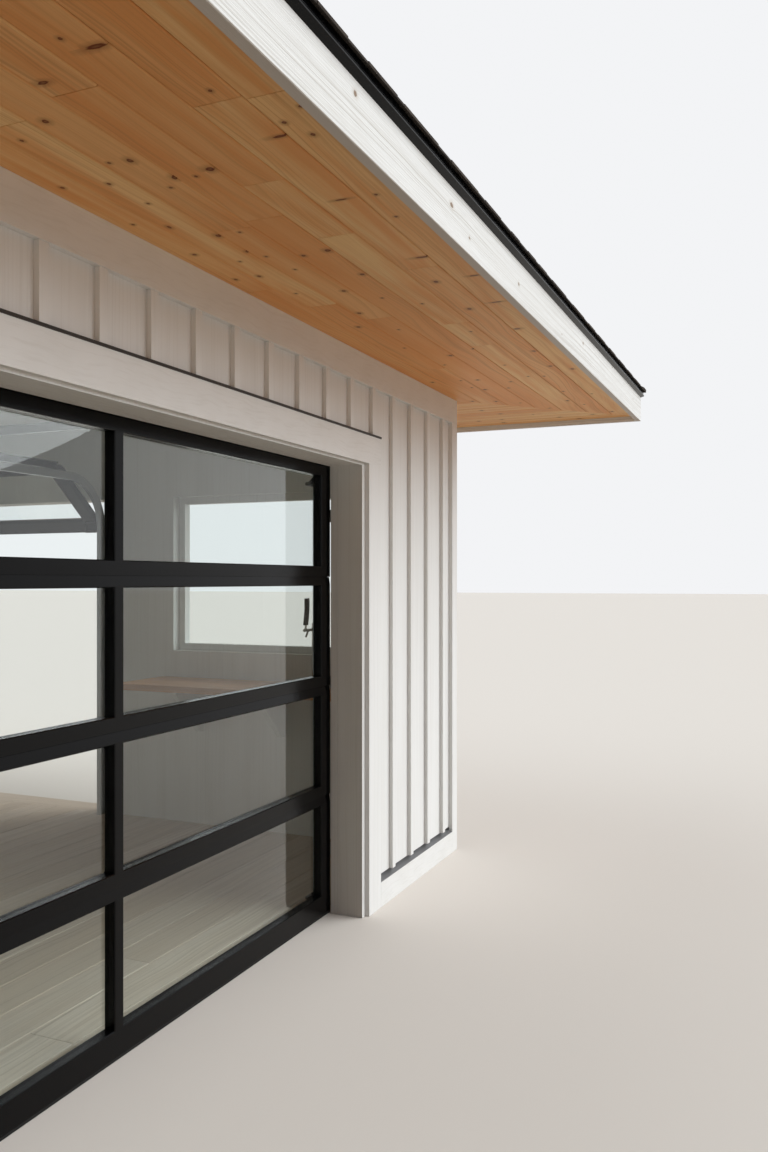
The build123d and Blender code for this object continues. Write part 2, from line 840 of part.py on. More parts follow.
def track_holders(width, level, run):
    """The brackets and straps of both tracks of a door."""
    web = width / 2 + track_from_door
    with BuildPart() as holders:
        for turn in range(bracket_levels):
            with BuildSketch(Plane.XY.offset(bracket_first + turn * bracket_spacing)):
                with Locations((web + bracket_width / 2, bracket_metal / 2 - inner_y)):
                    Rectangle(bracket_width, bracket_metal)
                with Locations((web + bracket_metal / 2, (track_back_y - inner_y) / 2)):
                    Rectangle(bracket_metal, track_back_y + inner_y)
            extrude(amount=bracket_height)
        for turn in range(2):
            strap_y = bend_y + run - bracket_width / 2 - turn * hanger_spacing
            with BuildSketch(Plane.XY.offset(level - track_width / 2)):
                with Locations((web + bracket_metal / 2, strap_y)):
                    Rectangle(bracket_metal, bracket_width)
            extrude(amount=ceiling_height - level + track_width / 2)
    return both_ends(holders.part)


with BuildPart() as track_brackets:
    add(track_holders(door_width, track_level, track_run))
    add(track_holders(side_door_width, side_track_level, side_track_run).moved(side_frame))
finish("track_brackets", track_brackets)


# Hinges on the mullions at the meeting rails, and carriers for the rollers on the end stiles
def stem_end(width):
    """How far from a door's middle its roller stems begin."""
    return (width - end_stile - hinge_width) / 2


def roller_carrier(width, level, plate_low):
    """A plate on the back of an end stile, and an arm down to the barrel that holds the stem."""
    with BuildPart() as carrier:
        with BuildSketch(Plane.XZ.offset(door_back)):
            with Locations(((width - end_stile) / 2, level + (hinge_height / 2 + plate_low) / 2)):
                Rectangle(hinge_width, hinge_height / 2 - plate_low)
        extrude(amount=-hinge_metal)
        with BuildSketch(Plane.YZ.offset(stem_end(width))):
            with Locations((roller_y, level)):
                RegularPolygon(barrel_radius, 8)
            with BuildLine():
                Polyline((-door_back, level + section_gap), (roller_y, level - barrel_radius),
                         (roller_y, level), (-door_back, level + hinge_arm_rise), close=True)
            make_face()
            with Locations((roller_y, level)):
                Circle(stem_diameter / 2 + stem_clearance, mode=Mode.SUBTRACT)
        extrude(amount=hinge_width)
    return both_ends(carrier.part)


def middle_hinge(across, level):
    """A hinge folded over its barrel, on the back of a mullion."""
    with BuildPart() as hinge:
        with BuildSketch(Plane.YZ.offset(across - mullion / 2)):
            with BuildLine():
                Polyline((-door_back, level - hinge_height / 2), (-door_back, level + hinge_height / 2),
                         (hinge_metal - door_back, level + hinge_height / 2),
                         (hinge_metal - door_back, level + 2 * barrel_radius),
                         (barrel_radius - door_back, level + barrel_radius),
                         (barrel_radius - door_back, level - barrel_radius),
                         (hinge_metal - door_back, level - 2 * barrel_radius),
                         (hinge_metal - door_back, level - hinge_height / 2), close=True)
            make_face()
        extrude(amount=mullion)
    return hinge.part


def rollers(width, level):
    """The rollers of one level, on stems that run into the carriers' barrels."""
    tread_x = width / 2 + track_from_door - track_metal - roller_play - roller_tread
    with BuildPart() as roller:
        with BuildSketch(Plane.YZ.offset(stem_end(width))):
            with Locations((roller_y, level)):
                Circle(stem_diameter / 2)
        extrude(amount=tread_x - stem_end(width))
        with BuildSketch(Plane.YZ.offset(tread_x)):
            with Locations((roller_y, level)):
                Circle(roller_diameter / 2)
        extrude(amount=roller_tread)
    return both_ends(roller.part)


top_roller = doorway_height - top_roller_drop
roller_levels = [track_foot + roller_diameter] + joint_levels + [top_roller]
side_roller_levels = [side_bottom_roller] + joint_levels + [top_roller]
side_roller_tilts = side_tilts + [90]

with BuildPart() as door_hinges:
    for level in roller_levels:
        add(roller_carrier(door_width, level, -hinge_height / 2))
    for level in joint_levels:
        for direction in (-1, 1):
            add(middle_hinge(direction * pane_step(door_width, pane_columns) / 2, level))
    for level, tilt in zip(side_roller_levels, side_roller_tilts):
        add(roller_carrier(side_door_width, level, section_gap).moved(drawn_up(tilt)))
    for level in joint_levels[1:]:
        add(middle_hinge(0, level).moved(drawn_up(90)))
finish("door_hinges", door_hinges)

with BuildPart() as door_rollers:
    for level in roller_levels:
        add(rollers(door_width, level))
    for level, tilt in zip(side_roller_levels, side_roller_tilts):
        add(rollers(side_door_width, level).moved(drawn_up(tilt)))
finish("door_rollers", door_rollers)

# Counter under the right window, on gusset brackets
counter_foot = counter_height - counter_thickness
with BuildPart() as counter:
    with BuildSketch(Plane.XY.offset(counter_foot)):
        with Locations((inner_x - counter_depth / 2, counter_length / 2 - inner_y)):
            Rectangle(counter_depth, counter_length)
    extrude(amount=counter_thickness)
    fillet(counter.edges().filter_by(Axis.Y).group_by(Axis.X)[0], counter_round)
finish("counter", counter)

bracket_step = counter_length / bracket_count
with BuildPart() as counter_brackets:
    for turn in range(bracket_count):
        bracket_y = bracket_step * (turn + 0.5) - inner_y
        with BuildSketch(Plane.XZ.offset(-bracket_y - bracket_thickness / 2)):
            with BuildLine():
                Polyline((inner_x, counter_foot), (inner_x, counter_foot - bracket_leg),
                         (inner_x - bracket_thickness, counter_foot - bracket_leg),
                         (inner_x - bracket_leg, counter_foot - bracket_thickness),
                         (inner_x - bracket_leg, counter_foot), close=True)
            make_face()
        extrude(amount=bracket_thickness)
finish("counter_brackets", counter_brackets)

# Draught tap: a column on the counter, a shank towards the room, a raked spout and a cranked handle
tap_x = inner_x - tap_from_wall
tap_y = tap_from_casing - half_depth
shank_level = counter_height + tap_height
shank_front = tap_x - column_diameter / 2 - shank_reach
collar_x = shank_front + collar_back
spout_x = shank_front + spout_back
with BuildPart() as tap_column:
    with BuildSketch(Plane.XY.offset(counter_height)):
        with Locations((tap_x, tap_y)):
            Circle(column_foot_diameter / 2)
    extrude(amount=column_foot_height)
    with BuildSketch(Plane.XY.offset(counter_height + column_foot_height)):
        with Locations((tap_x, tap_y)):
            Circle(column_diameter / 2)
    extrude(amount=column_height - column_foot_height)
    with BuildSketch(Plane.YZ.offset(shank_front)):
        with Locations((tap_y, shank_level)):
            Circle(shank_diameter / 2)
    extrude(amount=shank_reach + column_diameter / 2)
    with BuildSketch(Plane.XY.offset(shank_level)):
        with Locations((collar_x, tap_y)):
            Circle(collar_diameter / 2)
    extrude(amount=collar_height)
    with BuildSketch(Plane(origin=(spout_x, tap_y, shank_level), z_dir=(-spout_rake, 0, -spout_drop))):
        Circle(spout_diameter / 2)
    extrude(amount=(spout_rake ** 2 + spout_drop ** 2) ** 0.5)
finish("tap_column", tap_column)

handle_foot = shank_level + collar_height
handle_bend = handle_foot + handle_lower
handle_top = handle_bend + handle_upper
handle_near = collar_x - handle_thickness / 2
handle_far = collar_x + handle_thickness / 2
with BuildPart() as tap_handle:
    with BuildSketch(Plane.XZ.offset(-tap_y)):
        with BuildLine():
            Polyline((handle_near, handle_foot), (handle_near + handle_rake, handle_bend),
                     (handle_near + handle_rake, handle_top), (handle_far + handle_rake, handle_top),
                     (handle_far + handle_rake, handle_bend), (handle_far, handle_foot), close=True)
        make_face()
    extrude(amount=handle_width / 2, both=True)
    fillet(tap_handle.edges().filter_by(Axis.Y).group_by(Axis.Z)[-1], handle_rounding)
finish("tap_handle", tap_handle)
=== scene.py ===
import math
import random

import bpy
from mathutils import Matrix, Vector


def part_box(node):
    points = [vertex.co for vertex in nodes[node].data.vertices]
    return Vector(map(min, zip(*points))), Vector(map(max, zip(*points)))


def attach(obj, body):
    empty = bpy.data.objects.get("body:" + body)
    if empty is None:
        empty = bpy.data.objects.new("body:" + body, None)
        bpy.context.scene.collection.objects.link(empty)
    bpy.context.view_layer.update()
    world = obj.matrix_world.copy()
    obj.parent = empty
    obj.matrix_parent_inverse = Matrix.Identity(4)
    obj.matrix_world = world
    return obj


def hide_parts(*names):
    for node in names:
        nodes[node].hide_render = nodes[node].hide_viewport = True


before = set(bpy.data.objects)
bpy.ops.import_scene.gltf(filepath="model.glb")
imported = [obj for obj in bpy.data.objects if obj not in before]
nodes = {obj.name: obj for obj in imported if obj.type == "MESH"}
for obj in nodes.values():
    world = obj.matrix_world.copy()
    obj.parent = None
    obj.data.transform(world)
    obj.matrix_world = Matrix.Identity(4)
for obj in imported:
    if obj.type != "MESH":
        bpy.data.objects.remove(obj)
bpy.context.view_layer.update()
collection = bpy.context.scene.collection

X, Y, Z = Vector((1, 0, 0)), Vector((0, 1, 0)), Vector((0, 0, 1))

# Each side of the building: its name, the way along it, and the way from its eave towards the middle
SIDES = (("front", X, Y), ("back", -X, -Y), ("right", Y, -X), ("left", -Y, X))
ROOF_SLOPE = 5 / 12


# Materials

# Scales of the noises, per metre along, across and into the grain
WAVER = (0.9, 4.5, 4.5)
STAIN_FIBRES, STAIN_CLOUDS = (7, 460, 460), (1.1, 6, 6)
PINE_FIBRES, PINE_CLOUDS, PINE_BANDS = (5, 300, 300), (0.9, 14, 14), (0.5, 5, 5)
DECK_FIBRES, DECK_CLOUDS = (6, 380, 380), (1.5, 9, 9)
GRANULES, SHINGLE_CLOUDS = (420, 420, 420), (22, 22, 22)
DUST = (9, 9, 9)
LINES_ALONG, LINES_INTO = 0.5, 8.0

# Knots: how uneven their rims are, and how far they push the growth lines aside, in metres
RIM_RIPPLE = 0.9
KNOT_PUSH = 0.02
KNOT_SOFTENING = 0.8

# Heights where the grain of a frame turns level: over doorways and windows, and under windows
DOOR_HEAD = 2.134
WINDOW_HEAD, WINDOW_SILL = 2.124, 1.13
OUT_OF_REACH = 99.0
# How far the normal of an upright face may rise or fall
UPRIGHT_LIMIT = 0.5


def tone(red, green, blue):
    """A colour given as it looks on screen, 0 to 255, as the linear colour that a shader takes."""
    def linear(value):
        value /= 255
        return value / 12.92 if value <= 0.04045 else ((value + 0.055) / 1.055) ** 2.4
    return linear(red), linear(green), linear(blue), 1


def shade(colour, share):
    """A darker version of a linear colour."""
    red, green, blue, alpha = colour
    return red * share, green * share, blue * share, alpha


class Shading:
    """A tree of shader nodes. Each method adds a node, fed by values or sockets, and returns an output."""

    def __init__(self, tree):
        self.tree = tree

    def add(self, kind, inputs, output=0, **settings):
        """A node of this kind. Its inputs and its output go by name or index."""
        node = self.tree.nodes.new("ShaderNode" + kind)
        for key, value in settings.items():
            setattr(node, key, value)
        for key, value in inputs.items():
            if isinstance(value, bpy.types.NodeSocket):
                self.tree.links.new(value, node.inputs[key])
            else:
                node.inputs[key].default_value = value
        return node.outputs[output]

    def math(self, operation, a, b=0.0, c=0.0):
        return self.add("Math", {0: a, 1: b, 2: c}, operation=operation)

    def between(self, share, a, b):
        """A value that is a where the share is 0 and b where it is 1."""
        return self.add("Mix", {0: share, 2: a, 3: b})

    def light_path(self, ray):
        return self.add("LightPath", {}, output=ray)


class Finish(Shading):
    """A procedural material, built from the coordinates up to its Principled shader."""

    def __init__(self, name, **surface):
        """The surface's values go by the names of the shader's sockets, with _ for a space."""
        self.material = bpy.data.materials.new(name)
        self.material.use_nodes = True
        super().__init__(self.material.node_tree)
        self.shader = self.tree.nodes["Principled BSDF"]
        for socket, value in surface.items():
            self.shader.inputs[socket.replace("_", " ")].default_value = value

    def attribute(self, name, output="Vector"):
        return self.add("Attribute", {}, output=output, attribute_name=name)

    def geometry(self, output):
        return self.add("NewGeometry", {}, output=output)

    def parts(self, vector):
        """The x, y and z of a vector."""
        return self.add("SeparateXYZ", {0: vector}).node.outputs

    def stretch(self, vector, scale):
        return self.add("VectorMath", {0: vector, 1: scale}, operation="MULTIPLY")

    def noise(self, place, scale=None, detail=2.0, roughness=0.5):
        if scale is not None:
            place = self.stretch(place, scale)
        return self.add("TexNoise", {"Vector": place, "Scale": 1.0, "Detail": detail,
                                     "Roughness": roughness}, output="Fac")

    def remap(self, value, low, high, to_low=0.0, to_high=1.0):
        return self.add("MapRange", {"Value": value, 1: low, 2: high, 3: to_low, 4: to_high})

    def mix(self, share, a, b):
        """A colour that is a where the share is 0 and b where it is 1."""
        return self.add("Mix", {0: share, 6: a, 7: b}, output=2, data_type="RGBA")

    def set(self, socket, value):
        self.tree.links.new(value, self.shader.inputs[socket])

    def bump(self, height, distance):
        self.set("Normal", self.add("Bump", {"Height": height, "Distance": distance}, output="Normal"))


def grain_of_cad(finish, order, head=OUT_OF_REACH, sill=-OUT_OF_REACH):
    """Coordinates along, across and into the grain of a CAD node, from its place.

    "up" runs the grain up the boards, but level above the head and below the sill of a frame;
    "level" runs it round the walls. Faces that look up or down always have it level.
    """
    x, y, z = finish.parts(finish.geometry("Position"))
    around = finish.math("ADD", x, y)
    through = finish.math("SUBTRACT", x, y)
    along, across = around, z
    if order == "up":
        level = finish.math("MAXIMUM", finish.math("GREATER_THAN", z, head),
                            finish.math("LESS_THAN", z, sill))
        turn = finish.math("SUBTRACT", around, z)
        along = finish.math("MULTIPLY_ADD", level, turn, z)
        across = finish.math("SUBTRACT", around, finish.math("MULTIPLY", level, turn))
    rise = finish.parts(finish.geometry("Normal"))[2]
    flat = finish.math("GREATER_THAN", finish.math("ABSOLUTE", rise), UPRIGHT_LIMIT)
    return finish.add("CombineXYZ", {0: finish.between(flat, along, x),
                                     1: finish.between(flat, across, y), 2: through})


def growth_lines(finish, grain, waver, spacing, bend=None):
    """Lines of growth along a board, as noise across a coordinate that wavers and bends round knots."""
    along, across, into = finish.parts(grain)
    across = finish.math("MULTIPLY_ADD", finish.noise(grain, WAVER), waver, across)
    if bend is not None:
        across = finish.math("ADD", across, bend)
    warped = finish.add("CombineXYZ", {0: finish.math("MULTIPLY", along, LINES_ALONG),
                                       1: finish.math("MULTIPLY", across, 1 / spacing),
                                       2: finish.math("MULTIPLY", into, LINES_INTO)})
    return finish.noise(warped, detail=2.5, roughness=0.6)


def knot_field(finish, grain):
    """How far the nearest knot is, 1 at its rim, and how far it pushes the growth lines aside."""
    knot = finish.attribute("knot")
    reach = finish.add("VectorMath", {0: finish.stretch(knot, (1, 1, 0))}, output="Value",
                       operation="LENGTH")
    ripple = finish.noise(finish.add("VectorMath", {0: knot, 1: grain}, operation="ADD"))
    reach = finish.math("MULTIPLY_ADD", finish.math("SUBTRACT", ripple, 0.5), RIM_RIPPLE, reach)
    softened = finish.math("ADD", finish.math("MULTIPLY", reach, reach), KNOT_SOFTENING)
    return reach, finish.math("DIVIDE", KNOT_PUSH, softened)


def white_wood(name, order=None, figure=1.0, spacing=0.010, painted_shade_below=False, **frame_levels):
    """Rough-sawn boards under a white stain that lets a little of the grain through.

    Boards of this script bring their grain and knots; for a CAD node, order says how its grain runs.
    """
    finish = Finish(name, Roughness=0.62, Specular_IOR_Level=0.35)
    if order is None:
        grain = finish.attribute("grain")
        reach, bend = knot_field(finish, grain)
    else:
        grain, bend = grain_of_cad(finish, order, **frame_levels), None
    lines = growth_lines(finish, grain, 6 * spacing, spacing, bend)
    fibres = finish.noise(grain, STAIN_FIBRES, detail=3.0)
    clouds = finish.noise(grain, STAIN_CLOUDS, detail=3.0)
    stain = finish.mix(finish.remap(clouds, 0.4, 0.75, 0, 0.5), tone(238, 239, 238), tone(228, 228, 225))
    stain = finish.mix(finish.remap(lines, 0.5, 0.72, 0, 0.5 * figure), stain, tone(196, 193, 186))
    stain = finish.mix(finish.remap(fibres, 0.55, 0.8, 0, 0.4 * figure), stain, tone(210, 207, 200))
    if order is None:
        stain = finish.mix(finish.remap(reach, 2.4, 1.0, 0, 0.5), stain, tone(206, 200, 190))
        stain = finish.mix(finish.remap(reach, 1.0, 0.7), stain, tone(150, 132, 116))
    # Faces that look down get a greyer stain: a painted shade for the underside of the board
    if painted_shade_below:
        rise = finish.parts(finish.geometry("Normal"))[2]
        stain = finish.mix(finish.math("LESS_THAN", rise, -UPRIGHT_LIMIT), stain, tone(208, 203, 197))
    finish.set("Base Color", stain)
    finish.bump(finish.math("MULTIPLY_ADD", lines, 1.4, fibres), 0.0006 * figure)
    return finish.material


def clear_wood(name, pale, deep, knot_brown, gloss):
    """Clear-finished softwood: growth lines, colour from board to board, and knots at their places."""
    finish = Finish(name, Roughness=0.5, Specular_IOR_Level=gloss)
    grain = finish.attribute("grain")
    board = finish.attribute("tone", output="Fac")
    reach, bend = knot_field(finish, grain)
    lines = growth_lines(finish, grain, 0.16, 0.009, bend)
    fine = finish.noise(grain, PINE_FIBRES, detail=3.0)
    soft = finish.noise(grain, PINE_CLOUDS, detail=3.0)
    broad = finish.noise(grain, PINE_BANDS, detail=1.0)
    shown = finish.math("MULTIPLY", finish.remap(lines, 0.46, 0.7),
                        finish.remap(broad, 0.35, 0.65, 0.1, 0.65))
    colour = finish.mix(board, pale, deep)
    colour = finish.mix(finish.remap(soft, 0.42, 0.62, 0, 0.8), colour, deep)
    colour = finish.mix(shown, colour, shade(deep, 0.66))
    colour = finish.mix(finish.remap(fine, 0.5, 0.8, 0, 0.25), colour, shade(deep, 0.75))
    colour = finish.mix(finish.remap(reach, 3.4, 1.05, 0, 0.6), colour, shade(deep, 0.5))
    colour = finish.mix(finish.remap(reach, 1.2, 0.9), colour, knot_brown)
    colour = finish.mix(finish.remap(reach, 0.65, 0.15), colour, shade(deep, 0.35))
    finish.set("Base Color", colour)
    finish.bump(finish.math("MULTIPLY_ADD", lines, 0.5, fine), 0.0003)
    return finish.material


def weathered_wood(name):
    """Grey-brown deck boards, paler and darker ones, with raised grain and weathered clouds."""
    finish = Finish(name, Roughness=0.8, Specular_IOR_Level=0.3)
    grain = finish.attribute("grain")
    board = finish.attribute("tone", output="Fac")
    lines = growth_lines(finish, grain, 0.12, 0.010)
    fibres = finish.noise(grain, DECK_FIBRES, detail=3.0)
    clouds = finish.noise(grain, DECK_CLOUDS, detail=4.0)
    colour = finish.mix(board, tone(218, 205, 190), tone(194, 177, 158))
    colour = finish.mix(finish.remap(clouds, 0.4, 0.7, 0, 0.5), colour, tone(200, 180, 158))
    colour = finish.mix(finish.remap(lines, 0.5, 0.72, 0, 0.55), colour, tone(156, 138, 120))
    colour = finish.mix(finish.remap(fibres, 0.55, 0.8, 0, 0.4), colour, tone(150, 132, 116))
    finish.set("Base Color", colour)
    finish.bump(finish.math("MULTIPLY_ADD", lines, 1.2, fibres), 0.0007)
    return finish.material


def asphalt(name):
    """Mineral granules on asphalt shingles, with colour from tab to tab."""
    finish = Finish(name, Roughness=0.9, Specular_IOR_Level=0.3)
    grain = finish.attribute("grain")
    tab = finish.attribute("tone", output="Fac")
    granules = finish.noise(grain, GRANULES, roughness=0.7)
    clouds = finish.noise(grain, SHINGLE_CLOUDS, detail=4.0)
    colour = finish.mix(tab, tone(42, 38, 34), tone(70, 62, 54))
    colour = finish.mix(finish.remap(granules, 0.45, 0.7), colour, tone(92, 86, 82))
    colour = finish.mix(finish.remap(clouds, 0.4, 0.7, 0, 0.5), colour, tone(28, 25, 24))
    finish.set("Base Color", colour)
    finish.bump(granules, 0.0012)
    return finish.material


def dusty(name, colour, metallic=0.0, roughness=0.5, gloss=0.5):
    """Metal, plastic or rubber, with a little dust that makes it duller in places."""
    finish = Finish(name, Base_Color=colour, Metallic=metallic, Specular_IOR_Level=gloss)
    dust = finish.noise(finish.add("TexCoord", {}, output="Object"), DUST, detail=5.0, roughness=0.6)
    finish.set("Roughness", finish.remap(dust, 0.3, 0.75, roughness * 0.85, roughness * 1.2))
    return finish.material


def glass_pane(name):
    """Clear glass that lets lamp light and soft light through as a real pane does."""
    finish = Finish(name, Base_Color=tone(247, 252, 251), Roughness=0.0, IOR=1.52, Transmission_Weight=1.0)
    through = finish.math("MAXIMUM", finish.light_path("Is Shadow Ray"), finish.light_path("Is Diffuse Ray"))
    clear = finish.add("BsdfTransparent", {"Color": tone(245, 250, 249)})
    shown = finish.add("MixShader", {0: through, 1: finish.shader.outputs[0], 2: clear})
    finish.tree.links.new(shown, finish.tree.nodes["Material Output"].inputs["Surface"])
    return finish.material


white_upright = white_wood("white_stain_upright", "up", figure=0.35)
white_level = white_wood("white_stain_level", "level", figure=0.35)
white_casing = white_wood("white_stain_door_casing", "up", figure=0.35, head=DOOR_HEAD)
white_window_casing = white_wood("white_stain_window_casing", "up", figure=0.5, head=WINDOW_HEAD,
                                 sill=WINDOW_SILL)
# The fascia's faces that look down are greyed with a painted shade
white_fascia = white_wood("white_stain_fascia", figure=1.9, spacing=0.005, painted_shade_below=True)
inside_white = white_wood("inside_white", "up", figure=0.25)
soffit_pine = clear_wood("clear_pine", tone(255, 219, 158), tone(234, 160, 93), tone(112, 52, 14),
                         gloss=0.15)
counter_wood = clear_wood("oiled_counter", tone(218, 164, 114), tone(192, 138, 92), tone(120, 78, 46),
                          gloss=0.2)
deck_wood = weathered_wood("weathered_deck")
shingle = asphalt("asphalt_shingle")
black_aluminium = dusty("black_powder_coat", tone(4, 4, 5), roughness=0.2, gloss=0.15)
dark_metal = dusty("dark_drip_metal", tone(4, 5, 7), roughness=0.2, gloss=0.12)
flashing_metal = dusty("dark_flashing_metal", tone(62, 58, 55), roughness=0.4, gloss=0.12)
hinge_metal = dusty("dark_hinge_metal", tone(34, 34, 36), metallic=0.5, roughness=0.4)
grey_metal = dusty("grey_sheet_metal", tone(126, 127, 129), metallic=0.6, roughness=0.45)
galvanised = dusty("galvanised_steel", tone(176, 180, 184), metallic=0.9, roughness=0.42)
chrome = dusty("chrome", tone(205, 200, 192), metallic=1.0, roughness=0.14)
plastic = dusty("black_plastic", tone(18, 18, 19), roughness=0.4)
rubber = dusty("black_rubber", tone(16, 16, 16), roughness=0.8)
glass = glass_pane("clear_glass")


# Boards and shingles

SMALLEST_SIDE = 0.0005
JOINT_GAP = 0.0012
SHORTEST_END = 0.3

# How far the grain is moved at random from board to board and from tab to tab
BOARD_SHIFT = (40, 4, 4)
TAB_SHIFT = 9

# Scattered knots: their half widths, how many times longer they are, where they lie across a board,
# how far apart they are along it, as shares of the spacing, and how close to its ends they come
KNOT_SIZES = (0.0035, 0.008)
KNOT_LENGTHS = (1.0, 1.8)
KNOT_BAND = (0.15, 0.85)
KNOT_STEPS = (0.35, 1.7)
KNOT_FROM_START, KNOT_FROM_END = 0.05, 0.02
# What stands for the nearest knot where there is none
FAR_KNOT = Vector((9, 9, 0))


class Slabs:
    """Boards or shingles gathered into one piece, with the grain, tone and knots that its finish reads."""

    def __init__(self, name, seed):
        self.name = name
        self.random = random.Random(seed)
        self.points, self.faces = [], []
        self.grain, self.knot, self.tones = [], [], []

    def board(self, origin, along, across, face, length, width, depth, easing, leans=(0, 0),
              knots=(), cell=0.1, tone_range=(0, 1)):
        """A board from origin, its back corner, with eased front edges.

        leans say how far each end leans per metre across. cell is how large the faces may be, which
        is small where there are knots, because each face shows only the knot nearest to it.
        """
        rows = max(1, math.ceil(width / cell))
        columns = max(1, math.ceil(length / cell))
        flat_width = width - 2 * easing
        section = [(0, 0), (width, 0), (width, depth - easing)]
        section += [(width - easing - flat_width * row / rows, depth) for row in range(rows + 1)]
        section += [(0, depth - easing)]
        shift = Vector([self.random.uniform(0, reach) for reach in BOARD_SHIFT])
        board_tone = self.random.uniform(*tone_range)
        first = len(self.points)
        places = []
        for column in range(columns + 1):
            for across_place, depth_place in section:
                start = leans[0] * across_place
                stop = length + leans[1] * across_place
                along_place = start + (stop - start) * (column / columns)
                places.append(Vector((along_place, across_place, 0)))
                self.points.append(origin + along * along_place + across * across_place + face * depth_place)
                self.grain.append(Vector((along_place, across_place, depth_place)) + shift)
                self.tones.append(board_tone)
        count = len(section)
        sides = [[column * count + side, (column + 1) * count + side,
                  (column + 1) * count + (side + 1) % count, column * count + (side + 1) % count]
                 for column in range(columns) for side in range(count)]
        ends = [list(range(count)), [columns * count + side for side in reversed(range(count))]]
        mirrored = along.cross(across).dot(face) < 0
        for corners in sides + ends:
            corners = corners if mirrored else corners[::-1]
            self.faces.append([first + corner for corner in corners])
            self.knot += from_nearest_knot(knots, [places[corner] for corner in corners])

    def block(self, lower, upper, tone_range=(0, 1)):
        """A block from its four lower and four upper corners, or a wedge where two of them meet."""
        kept = [corner for corner in range(4) if (upper[corner] - upper[corner - 1]).length > SMALLEST_SIDE]
        if len(kept) < 3:
            return
        lower, upper = [lower[corner] for corner in kept], [upper[corner] for corner in kept]
        if (upper[1] - upper[0]).cross(upper[2] - upper[1]).z < 0:
            lower, upper = lower[::-1], upper[::-1]
        count = len(kept)
        first = len(self.points)
        shift = Vector((self.random.uniform(0, TAB_SHIFT), self.random.uniform(0, TAB_SHIFT), 0))
        self.points += lower + upper
        self.grain += [point + shift for point in lower + upper]
        self.tones += [self.random.uniform(*tone_range)] * (2 * count)
        faces = [list(reversed(range(count))), [count + corner for corner in range(count)]]
        for corner in range(count):
            after = (corner + 1) % count
            faces.append([corner, after, count + after, count + corner])
        self.faces += [[first + corner for corner in corners] for corners in faces]
        self.knot += [FAR_KNOT] * sum(len(corners) for corners in faces)

    def finish(self, material, slot, replaced):
        """Makes the piece, which takes the place of a CAD node."""
        mesh = bpy.data.meshes.new(self.name)
        mesh.from_pydata(self.points, [], self.faces)
        for name, values, kept_at in (("grain", self.grain, "POINT"), ("knot", self.knot, "CORNER")):
            layer = mesh.attributes.new(name, "FLOAT_VECTOR", kept_at)
            layer.data.foreach_set("vector", [part for value in values for part in value])
        layer = mesh.attributes.new("tone", "FLOAT", "POINT")
        layer.data.foreach_set("value", self.tones)
        mesh.materials.append(material)
        piece = bpy.data.objects.new(self.name, mesh)
        collection.objects.link(piece)
        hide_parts(replaced)
        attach(piece, "root")


def from_nearest_knot(knots, places):
    """Vectors to places from the knot nearest to their middle, in units of that knot's half sizes."""
    if not knots:
        return [FAR_KNOT] * len(places)
    middle = sum(places, Vector()) / len(places)
    along, across, half_long, half_wide = min(
        knots, key=lambda knot: (middle - Vector((knot[0], knot[1], 0))).length)
    return [Vector(((place.x - along) / half_long, (place.y - across) / half_wide, 0)) for place in places]


def scattered_knots(source, length, width, spacing=0.45):
    """Knots at random along a board: place along and across it, half length and half width."""
    knots, place = [], source.uniform(KNOT_FROM_START, spacing)
    while place < length - KNOT_FROM_END:
        size = source.uniform(*KNOT_SIZES)
        across = source.uniform(*KNOT_BAND) * width
        knots.append((place, across, size * source.uniform(*KNOT_LENGTHS), size))
        place += source.uniform(*KNOT_STEPS) * spacing
    return knots


def split(source, length, shortest, longest):
    """Cut points of a run of boards with random lengths."""
    cuts = [0.0]
    while length - cuts[-1] > longest:
        cuts.append(cuts[-1] + min(source.uniform(shortest, longest), length - cuts[-1] - SHORTEST_END))
    return cuts + [length]


# Soffits: tongued pine boards along each eave, mitred at the corners. Over the door, the butt joints
# (x, for each board from the fascia in) and the knots (x, y, half length, half width) have their places.
SOFFIT_PITCH = 0.1286
SOFFIT_LENGTHS = (1.6, 3.6)
LEFT_RUN_LENGTHS = (1.6, 2.6)
FRONT_BUTTS = ((-0.02,), (1.21,), (0.386, 0.82, 1.93, 2.33), (0.609,), (1.734,), (2.71,), (1.223,))
LARGE_KNOTS = (
    (-0.320, -3.343, 0.007, 0.023), (0.166, -3.486, 0.005, 0.018), (1.109, -3.483, 0.006, 0.020),
    (0.571, -3.450, 0.004, 0.016), (0.189, -3.562, 0.007, 0.005), (0.109, -3.529, 0.006, 0.005),
    (0.257, -3.229, 0.010, 0.012), (0.266, -3.114, 0.010, 0.007), (0.134, -3.072, 0.010, 0.007),
    (-0.114, -3.026, 0.008, 0.007), (-0.252, -3.146, 0.006, 0.012), (0.929, -3.229, 0.010, 0.009),
    (1.194, -3.229, 0.008, 0.007), (0.943, -3.134, 0.007, 0.006), (0.677, -2.980, 0.010, 0.007),
    (0.557, -2.886, 0.009, 0.005), (0.837, -2.986, 0.007, 0.005), (1.071, -2.891, 0.008, 0.006),
    (0.794, -2.814, 0.007, 0.006), (0.200, -2.797, 0.006, 0.005), (0.229, -2.929, 0.006, 0.005),
    (1.374, -3.434, 0.010, 0.007), (1.749, -3.434, 0.010, 0.007), (1.343, -3.086, 0.008, 0.007),
    (1.634, -3.014, 0.009, 0.007), (1.823, -2.923, 0.009, 0.007), (1.071, -2.797, 0.008, 0.005),
    (1.360, -3.579, 0.005, 0.015), (1.700, -3.557, 0.005, 0.018), (2.114, -3.523, 0.008, 0.012),
    (2.463, -3.104, 0.010, 0.007), (2.531, -3.486, 0.010, 0.007), (2.871, -3.480, 0.009, 0.007),
)
